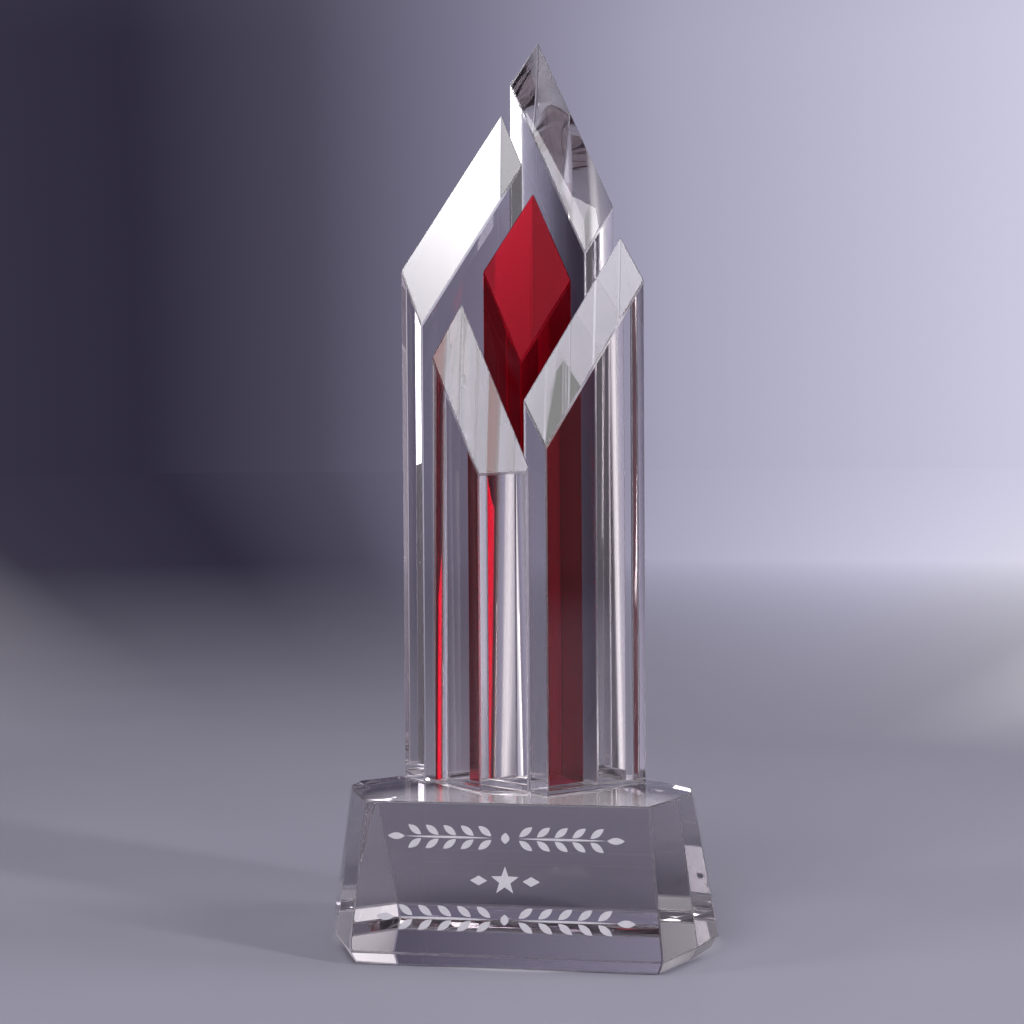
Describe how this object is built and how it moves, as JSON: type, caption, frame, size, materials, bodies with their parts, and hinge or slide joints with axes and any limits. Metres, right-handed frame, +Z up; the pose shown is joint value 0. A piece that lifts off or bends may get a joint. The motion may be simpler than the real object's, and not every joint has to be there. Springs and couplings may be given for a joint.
{
  "type": "crystal award",
  "caption": "Freestanding crystal award: a ruby red square bar ringed by clear upright slabs with steep sloping tops, bonded to a faceted clear block base.",
  "frame": {"origin": "middle of the underside of the base, on the surface that the award stands on", "axes": "+Z up along the slabs, -Y towards the engraved front face, +X to the award's right as its front is looked at"},
  "size_m": [0.1268, 0.0844, 0.3],
  "materials": {
    "clear_crystal": "polished optical crystal, flat facets with bright fine arrises",
    "ruby_crystal": "polished ruby red crystal, coloured through",
    "clear_adhesive": "clear cured adhesive, 0.16 mm film",
    "etched_frost": "sand-etched frost on polished crystal, matt grey-white"
  },
  "bodies": {
    "root": {"base_block": "clear_crystal", "ruby_bar": "ruby_crystal", "rear_slab": "clear_crystal", "left_slab": "clear_crystal", "front_slab": "clear_crystal", "right_slab": "clear_crystal", "foot_film_ruby_bar": "clear_adhesive", "foot_film_rear_slab": "clear_adhesive", "foot_film_left_slab": "clear_adhesive", "foot_film_front_slab": "clear_adhesive", "foot_film_right_slab": "clear_adhesive", "joint_film_ruby_bar_rear_slab": "clear_adhesive", "joint_film_left_slab_rear_slab": "clear_adhesive", "joint_film_rear_slab_right_slab": "clear_adhesive", "joint_film_right_slab_front_slab": "clear_adhesive", "joint_film_front_slab_left_slab": "clear_adhesive"}
  },
  "joints": []
}
